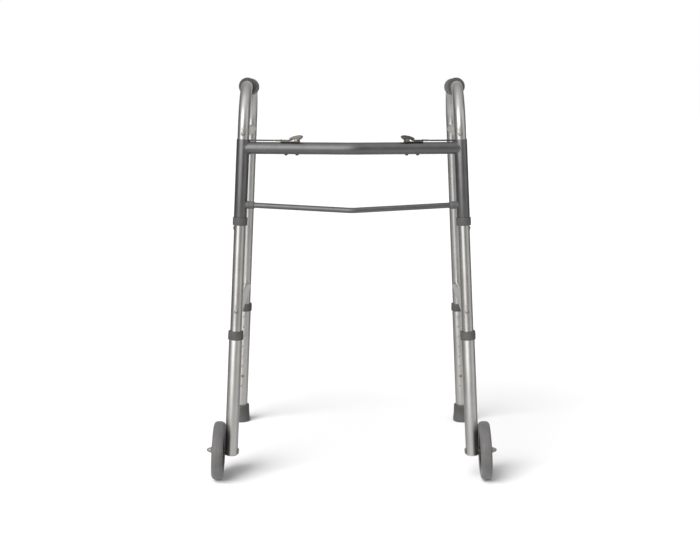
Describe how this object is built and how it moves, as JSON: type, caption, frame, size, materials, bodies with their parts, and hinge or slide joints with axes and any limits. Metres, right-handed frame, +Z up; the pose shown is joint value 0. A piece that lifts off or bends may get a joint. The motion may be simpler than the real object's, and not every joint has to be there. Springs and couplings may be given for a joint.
{
  "type": "walking frame",
  "caption": "Folding aluminium walking frame with two side frames hinged on a bowed front cross frame, front wheels, rubber rear tips and telescoping legs.",
  "frame": {"origin": "centre of the footprint of the bounding box, on the floor", "axes": "+X to the right seen from the front, +Y from the front wheels towards the user, +Z up"},
  "size_m": [0.6158, 0.5292, 0.8439],
  "materials": {
    "anodised_aluminium": "satin anodised",
    "grey_paint": "satin dark grey",
    "zinc_steel": "zinc plated",
    "brass_plate": "satin",
    "collar_plastic": "matte dark grey",
    "socket_plastic": "matte mid grey",
    "plug_plastic": "matte light grey",
    "grip_rubber": "moulded, matte",
    "foot_rubber": "moulded, matte",
    "tyre_rubber": "matte grey",
    "hub_plastic": "moulded black"
  },
  "bodies": {
    "front_frame": {"crossbar": "grey_paint", "lower_cross_rod": "grey_paint", "sleeve_left": "grey_paint", "sleeve_bushing_left": "collar_plastic", "rod_socket_left": "socket_plastic", "lever_bracket_left": "brass_plate", "lever_pin_left": "zinc_steel", "release_spring_left": "zinc_steel", "sleeve_right": "grey_paint", "sleeve_bushing_right": "collar_plastic", "rod_socket_right": "socket_plastic", "lever_bracket_right": "brass_plate", "lever_pin_right": "zinc_steel", "release_spring_right": "zinc_steel"},
    "side_left": {"side_tube_left": "anodised_aluminium", "hand_grip_left": "grip_rubber", "upper_brace_left": "anodised_aluminium", "lower_brace_left": "anodised_aluminium", "rivet_front_upper_left": "anodised_aluminium", "rivet_front_lower_left": "anodised_aluminium", "rivet_rear_upper_left": "anodised_aluminium", "rivet_rear_lower_left": "anodised_aluminium", "stop_rivet_left": "anodised_aluminium"},
    "front_leg_left": {"leg_extension_front_left": "anodised_aluminium", "leg_collar_front_left": "collar_plastic", "leg_end_plug_left": "plug_plastic", "axle_bolt_left": "zinc_steel", "axle_nut_left": "zinc_steel"},
    "rear_leg_left": {"leg_extension_rear_left": "anodised_aluminium", "leg_collar_rear_left": "collar_plastic", "rubber_tip_left": "foot_rubber"},
    "wheel_left": {"tyre_left": "tyre_rubber", "wheel_hub_left": "hub_plastic"},
    "front_button_left": {"snap_button_front_left": "brass_plate"},
    "rear_button_left": {"snap_button_rear_left": "brass_plate"},
    "lever_left": {"release_lever_left": "zinc_steel"},
    "latch_left": {"release_rod_left": "zinc_steel"},
    "side_right": {"side_tube_right": "anodised_aluminium", "hand_grip_right": "grip_rubber", "upper_brace_right": "anodised_aluminium", "lower_brace_right": "anodised_aluminium", "rivet_front_upper_right": "anodised_aluminium", "rivet_front_lower_right": "anodised_aluminium", "rivet_rear_upper_right": "anodised_aluminium", "rivet_rear_lower_right": "anodised_aluminium", "stop_rivet_right": "anodised_aluminium"},
    "front_leg_right": {"leg_extension_front_right": "anodised_aluminium", "leg_collar_front_right": "collar_plastic", "leg_end_plug_right": "plug_plastic", "axle_bolt_right": "zinc_steel", "axle_nut_right": "zinc_steel"},
    "rear_leg_right": {"leg_extension_rear_right": "anodised_aluminium", "leg_collar_rear_right": "collar_plastic", "rubber_tip_right": "foot_rubber"},
    "wheel_right": {"tyre_right": "tyre_rubber", "wheel_hub_right": "hub_plastic"},
    "front_button_right": {"snap_button_front_right": "brass_plate"},
    "rear_button_right": {"snap_button_rear_right": "brass_plate"},
    "lever_right": {"release_lever_right": "zinc_steel"},
    "latch_right": {"release_rod_right": "zinc_steel"}
  },
  "joints": [
    {"name": "fold_left", "type": "hinge", "parent": "front_frame", "child": "side_left", "pos_m": [-0.22546, -0.2018, 0.6391], "axis": [-0.053, 0, -0.9986], "range_deg": [0, 88]},
    {"name": "front_height_left", "type": "slide", "parent": "side_left", "child": "front_leg_left", "axis": [-0.053, 0, -0.9986], "range_m": [-0.0254, 0.127]},
    {"name": "rear_height_left", "type": "slide", "parent": "side_left", "child": "rear_leg_left", "axis": [-0.056, 0.0784, -0.9953], "range_m": [-0.0254, 0.127]},
    {"name": "wheel_spin_left", "type": "hinge", "parent": "front_leg_left", "child": "wheel_left", "pos_m": [-0.28314, -0.20288, 0.06163], "axis": [0.9978, 0.0399, -0.053], "continuous": true},
    {"name": "front_button_press_left", "type": "slide", "parent": "side_left", "child": "front_button_left", "axis": [0.0399, -0.9992, -0.0021], "range_m": [0, 0.0048], "stiffness_N_per_m": 600},
    {"name": "rear_button_press_left", "type": "slide", "parent": "side_left", "child": "rear_button_left", "axis": [-0.0356, 0.9961, 0.0805], "range_m": [0, 0.0048], "stiffness_N_per_m": 600},
    {"name": "lever_left_press", "type": "hinge", "parent": "front_frame", "child": "lever_left", "pos_m": [-0.11113, -0.21923, 0.7175], "axis": [0.1562, 0.9877, 0], "range_deg": [0, 18], "stiffness_Nm_per_rad": 0.0998},
    {"name": "latch_left_pull", "type": "slide", "parent": "front_frame", "child": "latch_left", "axis": [0.9877, -0.1562, 0], "range_m": [0, 0.00113]},
    {"name": "fold_right", "type": "hinge", "parent": "front_frame", "child": "side_right", "pos_m": [0.22546, -0.2018, 0.6391], "axis": [-0.053, 0, 0.9986], "range_deg": [0, 38]},
    {"name": "front_height_right", "type": "slide", "parent": "side_right", "child": "front_leg_right", "axis": [0.053, 0, -0.9986], "range_m": [-0.0254, 0.127]},
    {"name": "rear_height_right", "type": "slide", "parent": "side_right", "child": "rear_leg_right", "axis": [0.056, 0.0784, -0.9953], "range_m": [-0.0254, 0.127]},
    {"name": "wheel_spin_right", "type": "hinge", "parent": "front_leg_right", "child": "wheel_right", "pos_m": [0.28314, -0.20288, 0.06163], "axis": [0.9978, -0.0399, 0.053], "continuous": true},
    {"name": "front_button_press_right", "type": "slide", "parent": "side_right", "child": "front_button_right", "axis": [-0.0399, -0.9992, -0.0021], "range_m": [0, 0.0048], "stiffness_N_per_m": 600},
    {"name": "rear_button_press_right", "type": "slide", "parent": "side_right", "child": "rear_button_right", "axis": [0.0356, 0.9961, 0.0805], "range_m": [0, 0.0048], "stiffness_N_per_m": 600},
    {"name": "lever_right_press", "type": "hinge", "parent": "front_frame", "child": "lever_right", "pos_m": [0.11113, -0.21923, 0.7175], "axis": [0.1562, -0.9877, 0], "range_deg": [0, 18], "stiffness_Nm_per_rad": 0.0998},
    {"name": "latch_right_pull", "type": "slide", "parent": "front_frame", "child": "latch_right", "axis": [-0.9877, -0.1562, 0], "range_m": [0, 0.00113]}
  ],
  "couplings": [
    {"joint": "lever_left_press", "follows": "latch_left_pull", "rad_per_m": 277.78},
    {"joint": "lever_right_press", "follows": "latch_right_pull", "rad_per_m": 277.78}
  ]
}
